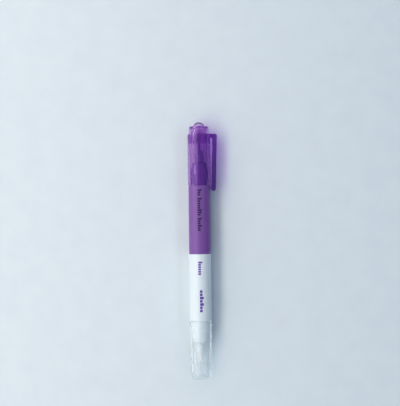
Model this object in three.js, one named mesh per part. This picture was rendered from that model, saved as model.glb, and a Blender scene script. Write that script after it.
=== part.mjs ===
// A double-ended fabric marking pen: an air-erasable marker at one end, its eraser at the other,
// each under a pull-off cap. It lies along Y, with the marker end at +Y and the clip towards +X.
// Millimetres, +Z up. The origin is under the middle of the pen's box, on the surface it lies on.

import * as THREE from "three";

// Driving dimensions: lengths along the pen
const markerBarrelLength = 36.1;
const eraserBarrelLength = 36.5;
const markerCapLength = 34.5;
const eraserCapLength = 31.6;
const joinerRingLength = 1.1;
const seam = 0.1; // between two pieces that butt end to end
const seal = 0.3; // between a nose and the inner cap that seals on it

// Driving dimensions: radii
const barrelRadius = 6;
const barrelBore = 5.15;
const noseRadius = 5;
const noseTipRadius = 3.5;
const markerCapRadius = 6.2;
const eraserCapMouthRadius = 6.1;
const capBore = 5.2;
const capCollarRadius = 5.2;
const innerCapRadius = 4.1;
const innerCapBore = 3.3;
const innerCapDomeRadius = 3;
const clipReach = 9.85; // from the pen's axis to the root of the clip's outer face
const play = 0.15; // round a piece that slides into another

// The marker half and the eraser half differ in these. Distances run outwards from the barrel's mouth.
const marker = { noseEnd: 12.3, holderRadius: 2.45, holderEnd: 18.6, nibRadius: 0.93, nibEnd: 23 };
const eraser = { noseEnd: 11.9, holderRadius: 2.15, holderEnd: 17.35, nibRadius: 1.2, nibEnd: 21.7 };

// Where things stand in the part's frame
const penLength =
  eraserCapLength + eraserBarrelLength + joinerRingLength + 2 * seam + markerBarrelLength + markerCapLength;
const axisX = (markerCapRadius - clipReach) / 2;
const axisZ = markerCapRadius;
const markerMouthY = penLength / 2 - markerCapLength;
const eraserMouthY = eraserCapLength - penLength / 2;
const joinerY = eraserMouthY + eraserBarrelLength + seam; // the ring's edge on the eraser's side

const aroundSteps = 24;
const curveSteps = 3;

const plastic = (color, roughness, opacity = 1) =>
  new THREE.MeshStandardMaterial({ color, roughness, metalness: 0, opacity, transparent: opacity < 1 });

const material = {
  purple: plastic(0x7e5da4, 0.35),
  darkPurple: plastic(0x694095, 0.35),
  white: plastic(0xecf3f8, 0.35),
  clipPurple: plastic(0x5a2f8d, 0.3),
  purpleCap: plastic(0x70469c, 0.25, 0.6),
  clearCap: plastic(0xe6f1f3, 0.3, 0.35),
  film: plastic(0xf4f4f4, 0.3, 0.5),
  inkFibre: plastic(0x3b2965, 0.9),
  whiteFibre: plastic(0xf2f0ea, 0.9),
};

// A piece turned about the pen's axis, from an outline of (radius, distance along the axis).
function turned(name, surface, draw) {
  const outline = new THREE.Path();
  outline.autoClose = true;
  draw(outline);
  const points = outline.getPoints(curveSteps);
  const mesh = new THREE.Mesh(new THREE.LatheGeometry(points, aroundSteps), surface);
  mesh.name = name;
  return mesh;
}

function barrel(name, length, surface) {
  const chamfer = 0.25;
  return turned(name, surface, (p) =>
    p
      .moveTo(barrelBore, -length)
      .lineTo(barrelRadius, -length)
      .lineTo(barrelRadius, -chamfer)
      .lineTo(barrelRadius - chamfer, 0)
      .lineTo(barrelBore, 0),
  );
}

// The nose is pressed into the barrel. It is hollow behind, and its front bore holds the nib holder.
// A low bead round it snaps into the cap.
const nosePlug = 6;
const noseCavityRadius = 4.2;
const noseBore = 2.1;

function nose(name, end, surface) {
  const bead = { start: 3.4, end: 4.2, height: 0.1 };
  const ogive = { start: end - 4, bulge: end - 1.5 };
  const boreStart = 6.5;
  const cavityEnd = 4.4;
  return turned(name, surface, (p) =>
    p
      .moveTo(noseCavityRadius, -nosePlug)
      .lineTo(noseRadius, -nosePlug)
      .lineTo(noseRadius, bead.start)
      .lineTo(noseRadius + bead.height, bead.start + bead.height)
      .lineTo(noseRadius + bead.height, bead.end - bead.height)
      .lineTo(noseRadius, bead.end)
      .lineTo(noseRadius, ogive.start)
      .quadraticCurveTo(noseRadius, ogive.bulge, noseTipRadius, end)
      .lineTo(noseBore, end)
      .lineTo(noseBore, boreStart)
      .lineTo(noseCavityRadius, cavityEnd),
  );
}

function nibHolder(name, half, surface) {
  const nibBore = half.nibRadius + play;
  const stem = { radius: noseBore - play, start: half.noseEnd - 5 };
  const shoulder = half.noseEnd + seam;
  const rounding = { start: half.holderEnd - 0.9, endRadius: half.nibRadius + 0.55 };
  const draft = 0.15; // how much thinner it is at its front end
  return turned(name, surface, (p) =>
    p
      .moveTo(nibBore, stem.start)
      .lineTo(stem.radius, stem.start)
      .lineTo(stem.radius, shoulder)
      .lineTo(half.holderRadius, shoulder)
      .lineTo(half.holderRadius - draft, rounding.start)
      .quadraticCurveTo(half.holderRadius - draft, half.holderEnd, rounding.endRadius, half.holderEnd)
      .lineTo(nibBore, half.holderEnd),
  );
}

// A nib is one long fibre rod: its point outside, its tail in the reservoir.
const nibTail = -11;

function nib(name, half, surface) {
  const point = { start: half.holderEnd + 0.3, radius: 0.3, end: half.nibEnd - 0.2 };
  const bulge = { radius: half.nibRadius * 0.9, at: half.nibEnd - 2.2 };
  return turned(name, surface, (p) =>
    p
      .moveTo(0, nibTail)
      .lineTo(half.nibRadius, nibTail)
      .lineTo(half.nibRadius, point.start)
      .quadraticCurveTo(bulge.radius, bulge.at, point.radius, point.end)
      .lineTo(0, half.nibEnd),
  );
}

// The fibre rod that holds the ink, and the film sleeve round it.
const spigotLength = 5;
const reservoirRadius = 4.4;
const reservoirPlay = 0.5; // at each end of the rod
const reservoirFront = -nosePlug - reservoirPlay;

const reservoirBack = (barrelLength) => spigotLength + reservoirPlay - barrelLength;

function reservoir(name, barrelLength, half, surface) {
  const back = reservoirBack(barrelLength);
  const socketRadius = half.nibRadius + play;
  const socketBottom = nibTail - play;
  return turned(name, surface, (p) =>
    p
      .moveTo(0, back)
      .lineTo(reservoirRadius, back)
      .lineTo(reservoirRadius, reservoirFront)
      .lineTo(socketRadius, reservoirFront)
      .lineTo(socketRadius, socketBottom)
      .lineTo(0, socketBottom),
  );
}

function reservoirWrap(name, barrelLength) {
  const back = reservoirBack(barrelLength);
  const film = 0.3;
  const bore = reservoirRadius + play;
  const outer = bore + film;
  return turned(name, material.film, (p) =>
    p
      .moveTo(bore, back)
      .lineTo(outer, back)
      .lineTo(outer, reservoirFront)
      .lineTo(bore, reservoirFront),
  );
}

// A ring flush with both barrels, a web that keeps the two inks apart, and a hollow spigot each way.
function centreJoiner() {
  const cupRadius = 4.1;
  const web = 0.3; // how far the web stands out of the ring on each side
  const ring = joinerRingLength;
  return turned("centre_joiner", material.darkPurple, (p) =>
    p
      .moveTo(0, -web)
      .lineTo(cupRadius, -web)
      .lineTo(cupRadius, -spigotLength)
      .lineTo(noseRadius, -spigotLength)
      .lineTo(noseRadius, 0)
      .lineTo(barrelRadius, 0)
      .lineTo(barrelRadius, ring)
      .lineTo(noseRadius, ring)
      .lineTo(noseRadius, ring + spigotLength)
      .lineTo(cupRadius, ring + spigotLength)
      .lineTo(cupRadius, ring + web)
      .lineTo(0, ring + web),
  );
}

// The marker's cap: a straight skirt, a stepped collar, and a hole that the inner cap's dome shows in.
const markerShoulder = 28;
const markerCollarEnd = 32.1;
const capWeb = 23; // where the caps' wide bores end
const capCorner = 0.5;
const capSocketRadius = innerCapRadius + play;

function markerCapShell() {
  const hole = { radius: innerCapDomeRadius + play, start: markerCollarEnd - 0.9 };
  return turned("marker_cap_shell", material.purpleCap, (p) =>
    p
      .moveTo(capBore, seam)
      .lineTo(markerCapRadius, seam)
      .lineTo(markerCapRadius, markerShoulder - capCorner)
      .quadraticCurveTo(markerCapRadius, markerShoulder, markerCapRadius - capCorner, markerShoulder)
      .lineTo(capCollarRadius, markerShoulder)
      .lineTo(capCollarRadius, markerCollarEnd - capCorner)
      .quadraticCurveTo(capCollarRadius, markerCollarEnd, capCollarRadius - capCorner, markerCollarEnd)
      .lineTo(hole.radius, markerCollarEnd)
      .lineTo(hole.radius, hole.start)
      .lineTo(capSocketRadius, markerShoulder)
      .lineTo(capSocketRadius, capWeb)
      .lineTo(capBore, capWeb),
  );
}

// One thin-walled thimble: a tube that seals on the nose, a neck, and the dome.
function markerInnerCap() {
  const mouth = marker.noseEnd + seal;
  const wall = innerCapRadius - innerCapBore;
  const neck = { start: markerShoulder - 0.2, end: markerCollarEnd - 1.1 };
  const dome = { start: markerCollarEnd + 0.2, bore: innerCapDomeRadius - wall };
  const height = markerCapLength - dome.start;
  return turned("marker_inner_cap", material.purpleCap, (p) =>
    p
      .moveTo(innerCapBore, mouth)
      .lineTo(innerCapRadius, mouth)
      .lineTo(innerCapRadius, neck.start)
      .lineTo(innerCapDomeRadius, neck.end)
      .absellipse(0, dome.start, innerCapDomeRadius, height, 0, Math.PI / 2)
      .absellipse(0, dome.start, dome.bore, height - wall, Math.PI / 2, 0, true)
      .lineTo(dome.bore, neck.end - wall / 2)
      .lineTo(innerCapBore, neck.start - wall / 2),
  );
}

// The eraser's cap tapers from its mouth to its shoulder, and its flat end is closed.
function eraserCapShell() {
  const shoulder = { at: 26.9, radius: 5.75, corner: 0.2 };
  const bore = { taperStart: 9, endRadius: 4.8 };
  const innerEnd = eraserCapLength - 1.2;
  return turned("eraser_cap_shell", material.clearCap, (p) =>
    p
      .moveTo(capBore, seam)
      .lineTo(eraserCapMouthRadius, seam)
      .lineTo(shoulder.radius, shoulder.at - shoulder.corner)
      .lineTo(shoulder.radius - shoulder.corner, shoulder.at)
      .lineTo(capCollarRadius, shoulder.at)
      .lineTo(capCollarRadius, eraserCapLength - capCorner)
      .quadraticCurveTo(capCollarRadius, eraserCapLength, capCollarRadius - capCorner, eraserCapLength)
      .lineTo(0, eraserCapLength)
      .lineTo(0, innerEnd)
      .lineTo(capSocketRadius, innerEnd)
      .lineTo(capSocketRadius, capWeb)
      .lineTo(bore.endRadius, capWeb)
      .lineTo(capBore, bore.taperStart),
  );
}

function eraserInnerCap() {
  const mouth = eraser.noseEnd + seal;
  const end = eraserCapLength - 1.5;
  const endWall = innerCapRadius - innerCapBore;
  return turned("eraser_inner_cap", material.clearCap, (p) =>
    p
      .moveTo(innerCapBore, mouth)
      .lineTo(innerCapRadius, mouth)
      .lineTo(innerCapRadius, end)
      .lineTo(0, end)
      .lineTo(0, end - endWall)
      .lineTo(innerCapBore, end - endWall),
  );
}

// The clip springs from the cap's shoulder, and its arm leans in towards the cap. It ends just past
// the cap's mouth, in an inward bead.
function pocketClip() {
  const width = 5.4;
  const root = { start: markerShoulder - 2.1, radius: markerCapRadius + 0.3 };
  const inner = { top: 7.3, bottom: 6.6, start: root.start - 0.4, end: 0.2 };
  const bead = { radius: barrelRadius + 0.3, at: -1.3 };
  const end = -3;
  const endReach = 8.9;
  const corner = 0.8;
  const outline = new THREE.Shape()
    .moveTo(root.radius, root.start)
    .lineTo(inner.top - 0.3, root.start)
    .lineTo(inner.top, inner.start)
    .lineTo(inner.bottom, inner.end)
    .quadraticCurveTo(bead.radius, bead.at + 0.8, bead.radius, bead.at)
    .quadraticCurveTo(bead.radius, end, bead.radius + 1, end)
    .lineTo(endReach - corner, end)
    .quadraticCurveTo(endReach, end, endReach, end + corner)
    .lineTo(clipReach, markerShoulder - corner)
    .quadraticCurveTo(clipReach, markerShoulder, clipReach - corner, markerShoulder)
    .lineTo(root.radius, markerShoulder);
  const geometry = new THREE.ExtrudeGeometry(outline, {
    depth: width,
    bevelEnabled: false,
    curveSegments: curveSteps,
  });
  geometry.translate(0, 0, -width / 2);
  const mesh = new THREE.Mesh(geometry, material.clipPurple);
  mesh.name = "pocket_clip";
  return mesh;
}

function markerHalf() {
  const group = new THREE.Group();
  group.position.y = markerMouthY;
  group.add(
    barrel("marker_barrel", markerBarrelLength, material.purple),
    reservoir("ink_reservoir", markerBarrelLength, marker, material.inkFibre),
    reservoirWrap("ink_reservoir_wrap", markerBarrelLength),
    nose("marker_nose", marker.noseEnd, material.purple),
    nibHolder("marker_nib_holder", marker, material.purple),
    nib("marker_nib", marker, material.inkFibre),
    markerCapShell(),
    markerInnerCap(),
    pocketClip(),
  );
  return group;
}

function eraserHalf() {
  const group = new THREE.Group();
  group.position.y = eraserMouthY;
  group.rotation.z = Math.PI;
  group.add(
    barrel("eraser_barrel", eraserBarrelLength, material.white),
    reservoir("eraser_reservoir", eraserBarrelLength, eraser, material.whiteFibre),
    reservoirWrap("eraser_reservoir_wrap", eraserBarrelLength),
    nose("eraser_nose", eraser.noseEnd, material.white),
    nibHolder("eraser_nib_holder", eraser, material.white),
    nib("eraser_nib", eraser, material.whiteFibre),
    eraserCapShell(),
    eraserInnerCap(),
  );
  return group;
}

function middle() {
  const group = new THREE.Group();
  group.position.y = joinerY;
  group.add(centreJoiner());
  return group;
}

const pen = new THREE.Group();
pen.position.set(axisX, 0, axisZ);
pen.add(markerHalf(), middle(), eraserHalf());

export default pen;
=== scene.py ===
"""The looks of the double-ended fabric marking pen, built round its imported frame.

Outlines are in millimetres. Those of turned pieces are (radius, distance, rounding) corners, and
their distances run outwards from the mouth of the barrel that they belong to, as in the CAD.
"""

import math

import bmesh
import bpy
from mathutils import Matrix, Vector


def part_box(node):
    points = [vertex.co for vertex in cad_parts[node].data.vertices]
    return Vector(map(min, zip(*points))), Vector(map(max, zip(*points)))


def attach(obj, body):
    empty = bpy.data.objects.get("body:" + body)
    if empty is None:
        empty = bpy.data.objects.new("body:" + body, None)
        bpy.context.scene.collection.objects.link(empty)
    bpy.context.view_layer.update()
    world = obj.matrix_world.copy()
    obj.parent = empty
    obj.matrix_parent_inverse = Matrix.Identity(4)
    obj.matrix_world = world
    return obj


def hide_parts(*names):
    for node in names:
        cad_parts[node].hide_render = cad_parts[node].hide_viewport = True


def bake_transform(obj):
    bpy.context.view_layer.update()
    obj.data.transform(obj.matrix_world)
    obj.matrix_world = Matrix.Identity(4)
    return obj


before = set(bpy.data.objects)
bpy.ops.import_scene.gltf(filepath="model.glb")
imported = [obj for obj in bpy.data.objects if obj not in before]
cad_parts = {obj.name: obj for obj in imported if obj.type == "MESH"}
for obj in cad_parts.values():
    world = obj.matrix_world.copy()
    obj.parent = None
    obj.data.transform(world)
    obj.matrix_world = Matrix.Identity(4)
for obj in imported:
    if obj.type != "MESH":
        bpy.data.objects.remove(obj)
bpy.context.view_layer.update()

MM = 0.001

# Where the frame says things are, in metres
barrel_low, barrel_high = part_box("marker_barrel")
AXIS_X = (barrel_low.x + barrel_high.x) / 2
AXIS_Z = (barrel_low.z + barrel_high.z) / 2
MARKER_MOUTH_Y = barrel_high.y
ERASER_MOUTH_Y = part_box("eraser_barrel")[0].y
JOINT_Y = barrel_low.y

# What the frame says sizes are, in millimetres
BARREL_RADIUS = (barrel_high.x - barrel_low.x) / 2 / MM
MARKER_BARREL_LENGTH = (barrel_high.y - barrel_low.y) / MM
ERASER_BARREL_LENGTH = (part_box("eraser_barrel")[1].y - ERASER_MOUTH_Y) / MM
MARKER_CAP_RADIUS = (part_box("marker_cap_shell")[1].x - AXIS_X) / MM
MARKER_CAP_LENGTH = (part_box("marker_inner_cap")[1].y - MARKER_MOUTH_Y) / MM
MARKER_COLLAR_END = (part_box("marker_cap_shell")[1].y - MARKER_MOUTH_Y) / MM
ERASER_CAP_MOUTH_RADIUS = (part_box("eraser_cap_shell")[1].x - AXIS_X) / MM
ERASER_CAP_LENGTH = (ERASER_MOUTH_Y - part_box("eraser_cap_shell")[0].y) / MM
CLIP_REACH = (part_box("pocket_clip")[1].x - AXIS_X) / MM
CLIP_WIDTH = (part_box("pocket_clip")[1].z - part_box("pocket_clip")[0].z) / MM

# Sizes that pieces share, in millimetres
SEAM = 0.1
PLAY = 0.15
NIB_PLAY = 0.08
BARREL_BORE = 5.15
NOSE_RADIUS = 5
NOSE_BORE = 2.1
COLLAR_RADIUS = 5.2
CAP_BORE = 5.2
CAP_WEB = 23
INNER_CAP_RADIUS = 4.1
INNER_CAP_BORE = 3.3
INNER_CAP_GAP = 0.3
DOME_RADIUS = 3
SHOULDER = 28

# Places inside a barrel, as distances from its mouth, and the room behind its reservoir
NIB_TAIL = -11
RESERVOIR_FRONT = -6.5
RESERVOIR_ROOM = 5.5

# The two ends: which way each one faces, and the sizes in which they differ
MARKER_END = {"mouth": MARKER_MOUTH_Y, "outwards": 1}
ERASER_END = {"mouth": ERASER_MOUTH_Y, "outwards": -1}
MARKER = {
    "nose_end": 12.3,
    "holder_radius": 2.45,
    "holder_end": 18.6,
    "nib_radius": 0.93,
    "nib_end": 23,
}
ERASER = {
    "nose_end": 11.9,
    "holder_radius": 2.15,
    "holder_end": 17.35,
    "nib_radius": 1.2,
    "nib_end": 21.7,
}

# How finely outlines are rounded and turned. Support points keep shading flat beside a rounding.
AROUND = 80
ARC_STEPS = 5
SUPPORT = 0.06
LONG_EDGE = 6 * SUPPORT
ON_AXIS = 1e-6
SHARP_ANGLE = math.radians(35)


# Meshes


def arc(before, corner, after, radius):
    """The points that round one corner of an outline. They take up less than half of its edges."""
    most = 0.49
    back, on = (before - corner).normalized(), (after - corner).normalized()
    half = back.angle(on) / 2
    reach = min(
        radius / math.tan(half), most * (before - corner).length, most * (after - corner).length
    )
    radius = reach * math.tan(half)
    centre = corner + (back + on).normalized() * (radius / math.sin(half))
    first, last = corner + back * reach - centre, corner + on * reach - centre
    turn = first.angle_signed(last)
    points = []
    for step in range(ARC_STEPS + 1):
        angle = -turn * step / ARC_STEPS
        cos, sin = math.cos(angle), math.sin(angle)
        points.append(
            centre + Vector((first.x * cos - first.y * sin, first.x * sin + first.y * cos))
        )
    return points


def rounded(corners, closed=True):
    """The points of an outline of (x, y, rounding) corners, with support points beside them."""
    count = len(corners)
    places = [Vector(c[:2]) for c in corners]
    points = []
    for i, corner in enumerate(corners):
        if corner[2] and (closed or 0 < i < count - 1):
            points += arc(places[i - 1], places[i], places[(i + 1) % count], corner[2])
        else:
            points.append(places[i])
    out = []
    for i, here in enumerate(points):
        out.append(here)
        if i == len(points) - 1 and not closed:
            break
        there = points[(i + 1) % len(points)]
        length = (there - here).length
        if length > LONG_EDGE:
            way = (there - here) / length
            out += [here + way * SUPPORT, there - way * SUPPORT]
    return out


def finished(name, bm, surface):
    """The object made from a bmesh, smooth but for its sharp edges."""
    bmesh.ops.recalc_face_normals(bm, faces=bm.faces)
    mesh = bpy.data.meshes.new(name)
    bm.to_mesh(mesh)
    bm.free()
    mesh.shade_smooth()
    mesh.set_sharp_from_angle(angle=SHARP_ANGLE)
    piece = bpy.data.objects.new(name, mesh)
    bpy.context.scene.collection.objects.link(piece)
    mesh.materials.append(surface)
    return piece


def turned_ring(bm, point, mouth, outwards, around):
    """A point of an outline turned about the pen's axis: a ring, or one vertex on the axis."""
    y = mouth + outwards * point.y * MM
    if point.x < ON_AXIS:
        return [bm.verts.new((AXIS_X, y, AXIS_Z))]
    ring = []
    for step in range(around):
        angle = 2 * math.pi * step / around
        x = AXIS_X + point.x * MM * math.cos(angle)
        z = AXIS_Z + point.x * MM * math.sin(angle)
        ring.append(bm.verts.new((x, y, z)))
    return ring


def bridge(bm, one, two, around):
    """The faces between two rings, of which one may be a single vertex."""
    for step in range(around):
        after = (step + 1) % around
        if len(one) == 1:
            bm.faces.new((one[0], two[step], two[after]))
        elif len(two) == 1:
            bm.faces.new((one[step], two[0], one[after]))
        else:
            bm.faces.new((one[step], two[step], two[after], one[after]))


def lathe(name, points, surface, mouth, outwards, around):
    """The piece that a loop of points makes round the axis. It is left open along the axis."""
    bm = bmesh.new()
    rings = [turned_ring(bm, point, mouth, outwards, around) for point in points]
    for one, two in zip(rings, rings[1:] + rings[:1]):
        if len(one) > 1 or len(two) > 1:
            bridge(bm, one, two, around)
    return finished(name, bm, surface)


def turned(name, corners, surface, mouth=MARKER_MOUTH_Y, outwards=1, around=AROUND):
    """A turned piece. Its outline is closed unless both its ends are on the pen's axis."""
    solid = corners[0][0] == 0
    points = rounded(corners, closed=not solid)
    return lathe(name, points, surface, mouth, outwards, around)


def shell(name, outside, inside, surface, mouth=MARKER_MOUTH_Y, outwards=1, around=64):
    """A turned thimble: an outside and an inside outline that each meet the axis once. Points that
    lie on the axis between the two are left out."""
    outline = rounded(outside + inside)
    points = []
    for i, here in enumerate(outline):
        there = outline[(i + 1) % len(outline)]
        if max(outline[i - 1].x, here.x, there.x) > ON_AXIS:
            points.append(here)
    return lathe(name, points, surface, mouth, outwards, around)


# Materials

PLASTIC_IOR = 1.49
# How much of each colour the purple dye leaves, as Cycles' absorption colour
PURPLE_DYE = (0.58, 0.03, 0.76, 1)
# Where the inner cap's haze grows, in metres along the pen, and by how much
COLLAR_TOP = MARKER_MOUTH_Y + MARKER_COLLAR_END * MM
MILKY_DOME = (COLLAR_TOP - 3 * MM, COLLAR_TOP, 0.22)


def new_material(name):
    """A material with an empty tree, and its output node."""
    material = bpy.data.materials.new(name)
    material.use_nodes = True
    material.node_tree.nodes.clear()
    output = material.node_tree.nodes.new("ShaderNodeOutputMaterial")
    return material, material.node_tree, output


def new_principled(name):
    """A material whose surface is one Principled shader."""
    material, tree, output = new_material(name)
    shader = tree.nodes.new("ShaderNodeBsdfPrincipled")
    tree.links.new(shader.outputs["BSDF"], output.inputs["Surface"])
    return material, tree, shader


def linear(hex_colour):
    """An sRGB hex colour as linear numbers, with alpha 1."""
    values = [int(hex_colour[i : i + 2], 16) / 255 for i in (0, 2, 4)]
    return tuple(v / 12.92 if v <= 0.04045 else ((v + 0.055) / 1.055) ** 2.4 for v in values) + (1,)


def noise(tree, per_metre, stretch=(1, 1, 1), detail=3, roughness=0.5):
    """Noise fixed to the piece. Stretch is how fast it changes along x, y and z."""
    place = tree.nodes.new("ShaderNodeTexCoord")
    mapping = tree.nodes.new("ShaderNodeMapping")
    mapping.inputs["Scale"].default_value = stretch
    texture = tree.nodes.new("ShaderNodeTexNoise")
    texture.inputs["Scale"].default_value = per_metre
    texture.inputs["Detail"].default_value = detail
    texture.inputs["Roughness"].default_value = roughness
    tree.links.new(place.outputs["Object"], mapping.inputs["Vector"])
    tree.links.new(mapping.outputs["Vector"], texture.inputs["Vector"])
    return texture.outputs["Fac"]


def between(tree, factor, low, high):
    """A number that goes from low to high as a noise factor goes over its usual range."""
    span = tree.nodes.new("ShaderNodeMapRange")
    span.inputs["From Min"].default_value = 0.3
    span.inputs["From Max"].default_value = 0.7
    span.inputs["To Min"].default_value = low
    span.inputs["To Max"].default_value = high
    tree.links.new(factor, span.inputs["Value"])
    return span.outputs["Result"]


def two_tone(tree, shader, factor, one, two):
    """Gives a shader a colour that drifts from one hex colour to another with a noise factor."""
    mix = tree.nodes.new("ShaderNodeMix")
    mix.data_type = "RGBA"
    mix.inputs["A"].default_value = linear(one)
    mix.inputs["B"].default_value = linear(two)
    tree.links.new(between(tree, factor, 0, 1), mix.inputs["Factor"])
    tree.links.new(mix.outputs["Result"], shader.inputs["Base Color"])


def bumped(tree, height, depth_mm):
    """A normal output for relief of a depth in millimetres."""
    bump = tree.nodes.new("ShaderNodeBump")
    bump.inputs["Strength"].default_value = 1
    bump.inputs["Distance"].default_value = depth_mm * MM
    tree.links.new(height, bump.inputs["Height"])
    return bump.outputs["Normal"]


def plastic(name, colour, other, rough=(0.28, 0.4), skin_mm=0.004, specular=0.5):
    """Moulded plastic: a slightly cloudy colour, uneven gloss, and a faint orange-peel skin."""
    material, tree, shader = new_principled(name)
    two_tone(tree, shader, noise(tree, 260, detail=4), colour, other)
    tree.links.new(between(tree, noise(tree, 900), *rough), shader.inputs["Roughness"])
    tree.links.new(bumped(tree, noise(tree, 2600, detail=2), skin_mm), shader.inputs["Normal"])
    shader.inputs["IOR"].default_value = PLASTIC_IOR
    shader.inputs["Specular IOR Level"].default_value = specular
    return material


def bending(tree, ior):
    """Clear plastic proper, with an uneven gloss and a very faint skin."""
    glass = tree.nodes.new("ShaderNodeBsdfPrincipled")
    glass.inputs["Base Color"].default_value = (1, 1, 1, 1)
    glass.inputs["Transmission Weight"].default_value = 1
    glass.inputs["IOR"].default_value = ior
    tree.links.new(between(tree, noise(tree, 700), 0.05, 0.11), glass.inputs["Roughness"])
    tree.links.new(bumped(tree, noise(tree, 1800, detail=2), 0.001), glass.inputs["Normal"])
    return glass.outputs["BSDF"]


def scattering(tree, colour):
    """What the haze in clear plastic does: half of the light comes back and half goes on."""
    mix = tree.nodes.new("ShaderNodeMixShader")
    mix.inputs["Fac"].default_value = 0.5
    for socket, kind in ((1, "ShaderNodeBsdfDiffuse"), (2, "ShaderNodeBsdfTranslucent")):
        scatter = tree.nodes.new(kind)
        scatter.inputs["Color"].default_value = linear(colour)
        tree.links.new(scatter.outputs["BSDF"], mix.inputs[socket])
    return mix.outputs["Shader"]


def frosting(tree, haze, start, end, extra):
    """Haze that grows by extra along the pen, from start to end."""
    place = tree.nodes.new("ShaderNodeSeparateXYZ")
    coordinates = tree.nodes.new("ShaderNodeTexCoord")
    tree.links.new(coordinates.outputs["Object"], place.inputs["Vector"])
    along = tree.nodes.new("ShaderNodeMapRange")
    tree.links.new(place.outputs["Y"], along.inputs["Value"])
    along.inputs["From Min"].default_value = start
    along.inputs["From Max"].default_value = end
    along.inputs["To Max"].default_value = extra
    total = tree.nodes.new("ShaderNodeMath")
    tree.links.new(haze, total.inputs[0])
    tree.links.new(along.outputs["Result"], total.inputs[1])
    return total.outputs["Value"]


def mixed_shader(tree, factor, one, two):
    """Two shaders mixed: the first where the factor is 0, and the second where it is 1."""
    mix = tree.nodes.new("ShaderNodeMixShader")
    tree.links.new(factor, mix.inputs["Fac"])
    tree.links.new(one, mix.inputs[1])
    tree.links.new(two, mix.inputs[2])
    return mix.outputs["Shader"]


def clear_plastic(name, haze_colour, haze, through, density=0, ior=PLASTIC_IOR, frosted=None):
    """See-through plastic: it bends light and scatters some of it. Light for what is inside, and
    what a mirror sees, goes straight through it, tinted. With a density, it is dyed purple too."""
    material, tree, output = new_material(name)
    cloud = between(tree, noise(tree, 300, detail=4), haze * 0.85, haze * 1.15)
    if frosted:
        cloud = frosting(tree, cloud, *frosted)
    shader = mixed_shader(tree, cloud, bending(tree, ior), scattering(tree, haze_colour))
    open_way = tree.nodes.new("ShaderNodeBsdfTransparent")
    open_way.inputs["Color"].default_value = linear(through)
    path = tree.nodes.new("ShaderNodeLightPath")
    for kind in ("Is Diffuse Ray", "Is Reflection Ray", "Is Shadow Ray"):
        shader = mixed_shader(tree, path.outputs[kind], shader, open_way.outputs["BSDF"])
    tree.links.new(shader, output.inputs["Surface"])
    if density:
        volume = tree.nodes.new("ShaderNodeVolumeAbsorption")
        volume.inputs["Color"].default_value = PURPLE_DYE
        volume.inputs["Density"].default_value = density
        tree.links.new(volume.outputs["Volume"], output.inputs["Volume"])
    return material


def fibre(name, colour, other):
    """Pressed fibres that run along the pen."""
    material, tree, shader = new_principled(name)
    strands = noise(tree, 9000, stretch=(1, 0.06, 1), detail=4, roughness=0.6)
    two_tone(tree, shader, strands, colour, other)
    tree.links.new(bumped(tree, strands, 0.03), shader.inputs["Normal"])
    shader.inputs["Roughness"].default_value = 0.8
    return material


def printing_ink(name, colour, other):
    """Pad-printed ink: a thin, slightly uneven film."""
    material, tree, shader = new_principled(name)
    two_tone(tree, shader, noise(tree, 3500, detail=4), colour, other)
    tree.links.new(between(tree, noise(tree, 2500), 0.3, 0.5), shader.inputs["Roughness"])
    return material


def paper(name, colour, other):
    """The pale floor: faintly mottled card."""
    material, tree, shader = new_principled(name)
    two_tone(tree, shader, noise(tree, 90, detail=5), colour, other)
    tree.links.new(bumped(tree, noise(tree, 1500, detail=4), 0.01), shader.inputs["Normal"])
    shader.inputs["Roughness"].default_value = 0.7
    shader.inputs["Specular IOR Level"].default_value = 0.2
    return material


purple_plastic = plastic("purple_plastic", "794f9a", "754c96", specular=0.35)
# The nose and nib holder: the barrel's purple made glossier, and darker as painted shade for their
# place inside the cap.
shaded_purple_gloss = plastic("shaded_purple_gloss", "6e449c", "6a4198", rough=(0.1, 0.16), skin_mm=0.001)
ring_plastic = plastic("ring_plastic", "7f54a3", "79509d", rough=(0.12, 0.2), skin_mm=0.001)
white_plastic = plastic("white_plastic", "d8e1e8", "d4dee5")
white_gloss = plastic("white_gloss", "d8e1e8", "d4dee5", rough=(0.2, 0.27), skin_mm=0.001)
purple_clear = clear_plastic("purple_clear", "a070c8", 0.05, "fdfcfe", density=540)
inner_clear = clear_plastic(
    "inner_clear", "dcd4e8", 0.03, "fdfcfe", density=170, ior=1.33, frosted=MILKY_DOME
)
clip_clear = clear_plastic("clip_clear", "6a2cb0", 0.17, "f5f0f9", density=400)
colourless = clear_plastic("colourless", "f4f8fa", 0.15, "fafcfd")
inner_colourless = clear_plastic("inner_colourless", "f4f8fa", 0.16, "fafcfd", ior=1.22)
film = clear_plastic("film", "f0f2f4", 0.1, "f4f6f8")
ink_fibre = fibre("ink_fibre", "54209a", "6030a6")
white_fibre = fibre("white_fibre", "f0eee8", "dedbd2")
dark_print = printing_ink("dark_print", "221548", "2a1b50")
violet_print = printing_ink("violet_print", "5b3a9c", "6644a4")


# The pen's own pieces


def settled(piece, node, body):
    """A piece that takes the place of one CAD part and moves with one body."""
    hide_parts(node)
    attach(piece, body)
    return piece


def barrel(name, node, length, surface, **place):
    """A plain tube, rounded at its mouth and less at the joint."""
    corners = [
        (BARREL_BORE, -length, 0.1),
        (BARREL_RADIUS, -length, 0.15),
        (BARREL_RADIUS, 0, 0.25),
        (BARREL_BORE, 0, 0.1),
    ]
    piece = turned(name, corners, surface, **place)
    return settled(piece, node, "barrel")


def ogive_radius(distance):
    """The nose's radius where it narrows, which it does as the square of the distance."""
    bend, straight = 0.0252, 4.9
    return NOSE_RADIUS - bend * (distance - straight) ** 2


def ogive(start, end):
    """The outline of the nose between two distances."""
    steps = 7
    places = [start + (end - start) * step / steps for step in range(steps + 1)]
    return [(ogive_radius(place), place, 0) for place in places]


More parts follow.
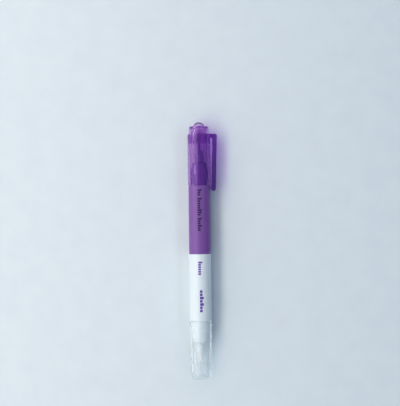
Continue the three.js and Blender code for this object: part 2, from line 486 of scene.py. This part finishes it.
def nose(name, node, end, surface, **place):
    """The nose: hollow behind, with two low snap beads and a rounded front."""
    plug, cavity, cavity_end, bore_start = -6, 4.2, 4.4, 6.5
    bead, low_bead = NOSE_RADIUS + 0.12, NOSE_RADIUS + 0.08
    rim = 0.2
    corners = [
        (cavity, plug, 0.1),
        (NOSE_RADIUS, plug, 0.2),
        (NOSE_RADIUS, 3.3, 0.1),
        (bead, 3.6, 0.15),
        (bead, 4.0, 0.15),
        (NOSE_RADIUS, 4.3, 0.1),
        (NOSE_RADIUS, 5.3, 0.1),
        (low_bead, 5.5, 0.1),
        (low_bead, 5.9, 0.1),
        *ogive(6.1, end - 0.5),
        (ogive_radius(end) - rim, end, 0.4),
        (NOSE_BORE, end, 0.1),
        (NOSE_BORE, bore_start, 0.2),
        (cavity, cavity_end, 0.5),
    ]
    piece = turned(name, corners, surface, **place)
    return settled(piece, node, "barrel")


def nib_holder(name, node, half, surface, **place):
    """The stepped tube that grips the nib: a stem in the nose's bore, and a tapered front."""
    bore = half["nib_radius"] + NIB_PLAY
    stem, stem_length = NOSE_BORE - PLAY, 5
    radius, end, taper = half["holder_radius"], half["holder_end"], 0.15
    shoulder = half["nose_end"] + SEAM
    corners = [
        (bore, half["nose_end"] - stem_length, 0.05),
        (stem, half["nose_end"] - stem_length, 0.3),
        (stem, shoulder, 0.05),
        (radius, shoulder, 0.15),
        (radius - taper, end, 0.8),
        (bore, end, 0.1),
    ]
    piece = turned(name, corners, surface, around=56, **place)
    return settled(piece, node, "barrel")


def nib(name, node, half, surface, **place):
    """A fibre rod with a rounded point."""
    radius, end = half["nib_radius"], half["nib_end"]
    point, point_length, waist = 0.34, 1.5, 0.72 * radius
    corners = [
        (0, NIB_TAIL, 0),
        (radius, NIB_TAIL, 0.15),
        (radius, half["holder_end"] + 0.4, 1.0),
        (waist, end - point_length, 1.5),
        (point, end, 0.3),
        (0, end, 0),
    ]
    piece = turned(name, corners, surface, around=40, **place)
    return settled(piece, node, "barrel")


def reservoir(name, node, length, half, surface, **place):
    """The fibre rod that holds the ink, with a socket for the nib's tail."""
    back, radius = RESERVOIR_ROOM - length, 4.4
    socket, socket_end = half["nib_radius"] + NIB_PLAY, NIB_TAIL - PLAY
    corners = [
        (0, back, 0),
        (radius, back, 0.2),
        (radius, RESERVOIR_FRONT, 0.2),
        (socket, RESERVOIR_FRONT, 0.1),
        (socket, socket_end, 0),
        (0, socket_end, 0),
    ]
    piece = turned(name, corners, surface, around=48, **place)
    return settled(piece, node, "barrel")


def reservoir_wrap(name, node, length, **place):
    """The film sleeve round the rod."""
    back, inner, outer = RESERVOIR_ROOM - length, 4.5, 4.7
    corners = [
        (inner, back, 0),
        (outer, back, 0),
        (outer, RESERVOIR_FRONT, 0),
        (inner, RESERVOIR_FRONT, 0),
    ]
    piece = turned(name, corners, film, around=48, **place)
    return settled(piece, node, "barrel")


def joint_ring():
    """The ring flush with both barrels, with its web and its two spigots. A land on each side fills
    most of the seam, so that only a shallow groove is left."""
    ring = 1.1
    cup, web, spigot = 4.1, 0.3, 5
    land, filled = BARREL_RADIUS - 0.12, 0.8 * SEAM
    start = JOINT_Y - (ring + SEAM) * MM
    corners = [
        (0, -web, 0),
        (cup, -web, 0.2),
        (cup, -spigot, 0.1),
        (NOSE_RADIUS, -spigot, 0.2),
        (NOSE_RADIUS, -filled, 0),
        (land, -filled, 0),
        (land, 0, 0),
        (BARREL_RADIUS, 0, 0.1),
        (BARREL_RADIUS, ring, 0.1),
        (land, ring, 0),
        (land, ring + filled, 0),
        (NOSE_RADIUS, ring + filled, 0),
        (NOSE_RADIUS, ring + spigot, 0.2),
        (cup, ring + spigot, 0.1),
        (cup, ring + web, 0.2),
        (0, ring + web, 0),
    ]
    piece = turned("joint_ring", corners, ring_plastic, mouth=start)
    return settled(piece, "centre_joiner", "barrel")


def marker_cap():
    """The purple cap's shell: a skirt, a rounded shoulder, and a collar open for the dome."""
    hole, hole_depth = DOME_RADIUS + PLAY, 0.9
    socket, socket_depth = INNER_CAP_RADIUS + PLAY, 1.3
    corners = [
        (CAP_BORE, SEAM, 0.15),
        (MARKER_CAP_RADIUS, SEAM, 0.3),
        (MARKER_CAP_RADIUS, SHOULDER, 0.5),
        (COLLAR_RADIUS, SHOULDER, 0.15),
        (COLLAR_RADIUS, MARKER_COLLAR_END, 0.45),
        (hole, MARKER_COLLAR_END, 0.15),
        (hole, MARKER_COLLAR_END - hole_depth, 0.2),
        (socket, MARKER_COLLAR_END - socket_depth, 0.4),
        (socket, CAP_WEB, 0.1),
        (CAP_BORE, CAP_WEB, 0.3),
    ]
    piece = turned("purple_cap", corners, purple_clear, around=96)
    return settled(piece, "marker_cap_shell", "marker_cap")


def marker_thimble():
    """The inner cap: a tube that seals on the nose, a neck, and the dome that shows on top."""
    mouth = MARKER["nose_end"] + INNER_CAP_GAP
    wall, dome_wall = INNER_CAP_RADIUS - INNER_CAP_BORE, 1.5
    neck_start, neck_end, neck_step = SHOULDER - 0.2, MARKER_COLLAR_END - 1.1, 0.4
    end = MARKER_CAP_LENGTH
    outside = [
        (INNER_CAP_BORE, mouth, 0.1),
        (INNER_CAP_RADIUS, mouth, 0.2),
        (INNER_CAP_RADIUS, neck_start, 0.5),
        (DOME_RADIUS, neck_end, 0.3),
        *dome(DOME_RADIUS, MARKER_COLLAR_END, end),
    ]
    inside = [
        *reversed(dome(DOME_RADIUS - dome_wall, MARKER_COLLAR_END, end - dome_wall)),
        (DOME_RADIUS - wall, neck_end - neck_step, 0.3),
        (INNER_CAP_BORE, neck_start - neck_step, 0.5),
    ]
    piece = shell("purple_inner_cap", outside, inside, inner_clear)
    return settled(piece, "marker_inner_cap", "marker_cap")


def eraser_cap():
    """The clear cap's shell: it tapers to its shoulder, and its flat end is closed."""
    shoulder, shoulder_radius = 26.9, 5.75
    taper_start, web_radius = 9, 4.8
    end, floor_end = ERASER_CAP_LENGTH, ERASER_CAP_LENGTH - 1.2
    socket = INNER_CAP_RADIUS + PLAY
    outside = [
        (CAP_BORE, SEAM, 0.15),
        (ERASER_CAP_MOUTH_RADIUS, SEAM, 0.25),
        (shoulder_radius, shoulder, 0.3),
        (COLLAR_RADIUS, shoulder, 0.1),
        (COLLAR_RADIUS, end, 0.5),
        (0, end, 0),
    ]
    inside = [
        (0, floor_end, 0),
        (socket, floor_end, 0.3),
        (socket, CAP_WEB, 0.1),
        (web_radius, CAP_WEB, 0.3),
        (CAP_BORE, taper_start, 1),
    ]
    piece = shell("clear_cap", outside, inside, colourless, **ERASER_END)
    return settled(piece, "eraser_cap_shell", "eraser_cap")


def eraser_thimble():
    """The clear inner cap that seals on the eraser's nose."""
    mouth = ERASER["nose_end"] + INNER_CAP_GAP
    wall = INNER_CAP_RADIUS - INNER_CAP_BORE
    end = ERASER_CAP_LENGTH - 1.5
    outside = [
        (INNER_CAP_BORE, mouth, 0.1),
        (INNER_CAP_RADIUS, mouth, 0.2),
        (INNER_CAP_RADIUS, end, 0.4),
        (0, end, 0),
    ]
    inside = [
        (0, end - wall, 0),
        (INNER_CAP_BORE, end - wall, 0.4),
    ]
    piece = shell("clear_inner_cap", outside, inside, inner_colourless, **ERASER_END)
    return settled(piece, "eraser_inner_cap", "eraser_cap")


def dome(radius, start, end):
    """The outline of half an ellipse, from its rim to the axis."""
    steps = 12
    angles = [math.pi / 2 * step / steps for step in range(steps)]
    places = [(radius * math.cos(a), start + (end - start) * math.sin(a), 0) for a in angles]
    return places + [(0, end, 0)]


def smoothstep(low, high, value):
    """A number that goes smoothly from 0 to 1 as the value goes from low to high."""
    t = min(max((value - low) / (high - low), 0), 1)
    return t * t * (3 - 2 * t)


def across_clip(half, edge):
    """Places across the clip's width, each with how far its outline draws in there: a quarter round
    of the edge's radius on either side, and a flat middle."""
    turns, middles = 5, 8
    places = []
    for turn in range(turns + 1):
        angle = math.pi / 2 * turn / turns
        places.append((-half + edge * (1 - math.cos(angle)), edge * (1 - math.sin(angle))))
    flat = [(-half + edge + 2 * (half - edge) * step / middles, 0) for step in range(1, middles)]
    return places + flat + [(-z, inset) for z, inset in reversed(places)]


def inward_ways(points):
    """For each point of an outline, the way to move it so that all edges move in by 1."""
    area = sum(points[i - 1].x * p.y - p.x * points[i - 1].y for i, p in enumerate(points))
    side = -1 if area > 0 else 1
    ways = []
    for i, here in enumerate(points):
        one = (here - points[i - 1]).normalized()
        two = (points[(i + 1) % len(points)] - here).normalized()
        along = (one + two).normalized()
        ways.append(side * Vector((along.y, -along.x)) / max(along.dot(one), 0.5))
    return ways


def clip_place(at, z, hug):
    """Where a point of the clip goes. At its root the clip flares and wraps round the cap."""
    flare, flare_start, wrap_start, root_end = 0.3, 6.5, 6.2, 7.6
    root = at.y > SHOULDER / 2
    near = 1 - smoothstep(flare_start, root_end, at.x) if root else 0
    wrap = 1 - smoothstep(wrap_start, root_end, at.x) if root else 0
    z *= 1 + flare * near
    drop = hug - math.sqrt(hug * hug - z * z)
    return AXIS_X + (at.x - drop * wrap) * MM, MARKER_MOUTH_Y + at.y * MM, AXIS_Z + z * MM


def clip():
    """The clip, one moulding with the cap: its root hugs the shell and flares, its arm leans in,
    and its free end has a bead that rests by the barrel."""
    hug = MARKER_CAP_RADIUS + 0.02
    edge = 0.4
    root, tip = SHOULDER - 2.1, -3
    corners = [
        (hug, SHOULDER, 0.1),
        (hug, root, 0.1),
        (7.3, root, 0.5),
        (6.6, 0.6, 1.2),
        (6.3, -1.0, 0.5),
        (6.3, -1.9, 0.6),
        (7.0, tip, 0.5),
        (8.9, tip, 0.9),
        (CLIP_REACH, SHOULDER, 0.9),
    ]
    points = rounded(corners)
    ways = inward_ways(points)
    bm = bmesh.new()
    rings = []
    for z, inset in across_clip(CLIP_WIDTH / 2, edge):
        ring = []
        for here, way in zip(points, ways):
            at = here + way * inset
            if here.x < hug + edge:
                at.x = here.x
            ring.append(bm.verts.new(clip_place(at, z, hug)))
        rings.append(ring)
    for one, two in zip(rings, rings[1:]):
        for i in range(len(points)):
            after = (i + 1) % len(points)
            bm.faces.new((one[i], one[after], two[after], two[i]))
    bm.faces.new(rings[0])
    bm.faces.new(rings[-1])
    piece = finished("clip", bm, clip_clear)
    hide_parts("pocket_clip")
    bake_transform(piece)
    return piece


def block_row(name, words, start, pitch, offset, size, surface):
    """Small print as words of plain rounded blocks that say nothing. They run along the barrel
    from start towards the eraser end, and all stand on one base line, which is beside the pen's
    crest by offset."""
    gap, word_gap, base_line = 0.3, 0.8, -0.7
    bm = bmesh.new()
    place = start
    for word in words:
        for height in word:
            centre = (place - pitch / 2, offset + (base_line + height / 2) * size)
            block(bm, centre, pitch - gap, height * size)
            place -= pitch
        place -= pitch * word_gap
    piece = finished(name, bm, surface)
    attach(piece, "barrel")
    return piece


def block(bm, centre, length, height):
    """One block: a thin plate with rounded corners, bent round the barrel."""
    corner, film_half = 0.22, 0.02
    under, over = BARREL_RADIUS - film_half, BARREL_RADIUS + film_half
    rows = []
    steps = 12
    for step in range(steps + 1):
        across = height / 2 * math.sin(math.pi * (step / steps - 0.5))
        left = max(abs(across) - (height / 2 - corner), 0)
        half = length / 2 - corner + math.sqrt(max(corner * corner - left * left, 0))
        turn = (centre[1] + across) / BARREL_RADIUS
        row = []
        for radius, side in ((over, -1), (over, 1), (under, 1), (under, -1)):
            x = AXIS_X + radius * math.sin(turn) * MM
            z = AXIS_Z + radius * math.cos(turn) * MM
            row.append(bm.verts.new((x, (centre[0] + side * half) * MM, z)))
        rows.append(row)
    for one, two in zip(rows, rows[1:]):
        for i in range(4):
            j = (i + 1) % 4
            bm.faces.new((one[i], one[j], two[j], two[i]))
    bm.faces.new(rows[0])
    bm.faces.new(rows[-1])


# The whole pen


def marker_half():
    """Everything on the marker's side of the joint."""
    barrel("purple_barrel", "marker_barrel", MARKER_BARREL_LENGTH, purple_plastic, **MARKER_END)
    nose("purple_nose", "marker_nose", MARKER["nose_end"], shaded_purple_gloss, **MARKER_END)
    nib_holder("purple_nib_holder", "marker_nib_holder", MARKER, shaded_purple_gloss, **MARKER_END)
    nib("ink_nib", "marker_nib", MARKER, ink_fibre, **MARKER_END)
    reservoir("ink_rod", "ink_reservoir", MARKER_BARREL_LENGTH, MARKER, ink_fibre, **MARKER_END)
    reservoir_wrap("ink_rod_film", "ink_reservoir_wrap", MARKER_BARREL_LENGTH, **MARKER_END)
    marker_cap()
    marker_thimble()
    clip()


def eraser_half():
    """Everything on the eraser's side of the joint."""
    barrel("white_barrel", "eraser_barrel", ERASER_BARREL_LENGTH, white_plastic, **ERASER_END)
    nose("white_nose", "eraser_nose", ERASER["nose_end"], white_gloss, **ERASER_END)
    nib_holder("white_nib_holder", "eraser_nib_holder", ERASER, white_gloss, **ERASER_END)
    nib("eraser_tip", "eraser_nib", ERASER, white_fibre, **ERASER_END)
    reservoir(
        "eraser_rod", "eraser_reservoir", ERASER_BARREL_LENGTH, ERASER, white_fibre, **ERASER_END
    )
    reservoir_wrap("eraser_rod_film", "eraser_reservoir_wrap", ERASER_BARREL_LENGTH, **ERASER_END)
    eraser_cap()
    eraser_thimble()


def prints():
    """Three rows of blocks: one on the purple barrel and two on the white one."""
    tall, low = 1.4, 0.95
    three_words = (
        (tall, low, low),
        (tall, low, low, low, low, tall, tall, low),
        (tall, low, low, tall, low, low),
    )
    one_word = ((tall, low, low, low, low, low),)
    plain_word = ((low, low, tall, low, tall, low, low),)
    block_row("barrel_print", three_words, 33.5, 1.23, 0, 1.6, dark_print)
    block_row("white_barrel_print", one_word, -5.7, 1.26, 0, 1.6, violet_print)
    block_row("small_print", plain_word, -21.2, 1.75, 0.7, 1.5, violet_print)


marker_half()
joint_ring()
eraser_half()
prints()


# The stage


def floor():
    """A plain pale floor, level with the pen's lowest point."""
    half_side = 1.5
    bm = bmesh.new()
    bmesh.ops.create_grid(bm, x_segments=8, y_segments=8, size=half_side)
    plane = finished("floor", bm, paper("floor_card", "d6dfe5", "d2dbe2"))


WARM, COOL = (1.0, 0.97, 0.91), (0.8, 0.95, 1.22)
SKY_BLUE = (0.76, 0.93, 1.16, 1)
LAMP_DISTANCE = 0.6


def area_lamp(name, size_x, size_y, power):
    """A rectangular light, in the scene but not yet in its place."""
    light = bpy.data.lights.new(name, "AREA")
    light.shape = "RECTANGLE"
    light.size, light.size_y = size_x, size_y
    light.energy = power
    lamp = bpy.data.objects.new(name, light)
    bpy.context.scene.collection.objects.link(lamp)
    return lamp


def softbox(name, angle, width, power, colour, mirrored=True):
    """A long soft light beside the pen, at an angle from straight up, towards -X when positive."""
    length, middle = 1.6, 0.1
    lamp = area_lamp(name, width, length, power)
    lamp.data.color = colour
    turn = math.radians(angle)
    x, z = AXIS_X - LAMP_DISTANCE * math.sin(turn), AXIS_Z + LAMP_DISTANCE * math.cos(turn)
    lamp.location = (x, middle, z)
    lamp.rotation_euler = (0, -turn, 0)
    lamp.visible_glossy = mirrored


def strip_lamp(low, high, width, power):
    """A light between two directions from the pen, only for the glints on what leans towards +Y."""
    start, end = Vector(low) * LAMP_DISTANCE, Vector(high) * LAMP_DISTANCE
    lamp = area_lamp("strip_lamp", (end - start).length, width, power)
    along, back = (end - start).normalized(), (start + end).normalized()
    across = back.cross(along).normalized()
    turn = Matrix((along, across, along.cross(across))).transposed()
    lamp.location = Vector((AXIS_X, MARKER_MOUTH_Y, AXIS_Z)) + (start + end) / 2
    lamp.rotation_euler = turn.to_euler()
    lamp.visible_diffuse = False


def sky(strength):
    """A dim, even light from all round."""
    world = bpy.data.worlds.new("studio")
    world.use_nodes = True
    background = world.node_tree.nodes["Background"]
    background.inputs["Color"].default_value = SKY_BLUE
    background.inputs["Strength"].default_value = strength
    bpy.context.scene.world = world


def camera():
    """Straight down on the pen, which lies upright in the frame and leans a little to the left."""
    height, beside, forward, lean = 0.71, 0.25 * MM, 25.9 * MM, math.radians(-0.63)
    data = bpy.data.cameras.new("camera")
    data.sensor_width = 36
    data.lens = 115.3
    data.clip_start, data.clip_end = 0.01, 10
    eye = bpy.data.objects.new("camera", data)
    eye.location = (AXIS_X + beside, forward, AXIS_Z + height)
    eye.rotation_euler = (0, 0, lean)
    bpy.context.scene.collection.objects.link(eye)
    bpy.context.scene.camera = eye


floor()
softbox("window", 50, 0.81, 4.1, WARM)
softbox("window_fill", 37, 0.16, 2.9, WARM, mirrored=False)
softbox("top_fill", 8, 0.16, 0.7, WARM, mirrored=False)
softbox("far_fill", -40, 0.16, 1.0, COOL, mirrored=False)
strip_lamp((-0.845, 0.5, 0.18), (-0.77, 0.17, 0.62), 0.15, 1.7)
sky(0.18)
camera()
bpy.context.scene.view_settings.view_transform = "Standard"

# The clear pieces lie inside each other, so light crosses many surfaces
bounces = 24
bpy.context.scene.cycles.max_bounces = bounces
bpy.context.scene.cycles.transmission_bounces = bounces
bpy.context.scene.cycles.transparent_max_bounces = bounces
bpy.context.scene.cycles.glossy_bounces = 8
